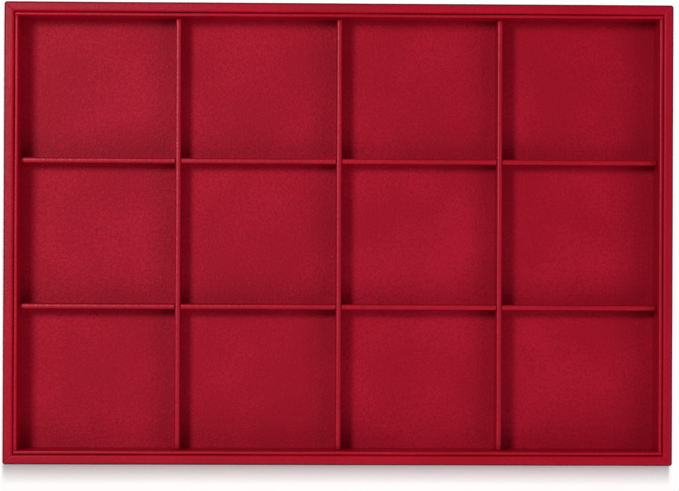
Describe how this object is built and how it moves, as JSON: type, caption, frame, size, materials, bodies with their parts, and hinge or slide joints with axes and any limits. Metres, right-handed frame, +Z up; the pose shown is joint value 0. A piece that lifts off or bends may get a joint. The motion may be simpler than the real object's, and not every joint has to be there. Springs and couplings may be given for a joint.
{
  "type": "jewelry display tray",
  "caption": "Shallow open display tray in red leatherette: a wrapped frame tray with a lift-out insert that cross-lapped dividers share into equal compartments.",
  "frame": {"origin": "middle of the underside, on the table", "axes": "+X along the tray's length to the right, +Y along its width to the rear, +Z up"},
  "size_m": [0.35, 0.2416, 0.03],
  "materials": {
    "leatherette": "fine pebbled grain, satin",
    "frame_board": "raw fibreboard, matt",
    "greyboard": "raw greyboard, matt",
    "brad_steel": "bright drawn wire",
    "underside_lining": "flocked, matt",
    "well_paper": "plain lining paper, matt"
  },
  "bodies": {
    "tray": {"front_wall_board": "frame_board", "front_wall_wrap": "leatherette", "rear_wall_board": "frame_board", "rear_wall_wrap": "leatherette", "left_wall_board": "frame_board", "left_wall_wrap": "leatherette", "right_wall_board": "frame_board", "right_wall_wrap": "leatherette", "corner_brads": "brad_steel", "base_board": "frame_board", "underside_infill": "greyboard", "bottom_lining": "underside_lining", "well_lining": "well_paper"},
    "insert": {"front_liner_board": "greyboard", "front_liner_skin": "leatherette", "rear_liner_board": "greyboard", "rear_liner_skin": "leatherette", "left_liner_board": "greyboard", "left_liner_skin": "leatherette", "right_liner_board": "greyboard", "right_liner_skin": "leatherette", "insert_floor_board": "greyboard", "insert_floor_cover": "leatherette", "insert_backing": "greyboard", "cross_divider_core_1": "greyboard", "cross_divider_skin_1": "leatherette", "cross_divider_core_2": "greyboard", "cross_divider_skin_2": "leatherette", "cross_divider_core_3": "greyboard", "cross_divider_skin_3": "leatherette", "long_divider_core_1": "greyboard", "long_divider_skin_1": "leatherette", "long_divider_core_2": "greyboard", "long_divider_skin_2": "leatherette"}
  },
  "joints": [
    {"name": "insert_lift", "type": "slide", "parent": "tray", "child": "insert", "axis": [0, 0, 1], "range_m": [0, 0.03]}
  ]
}
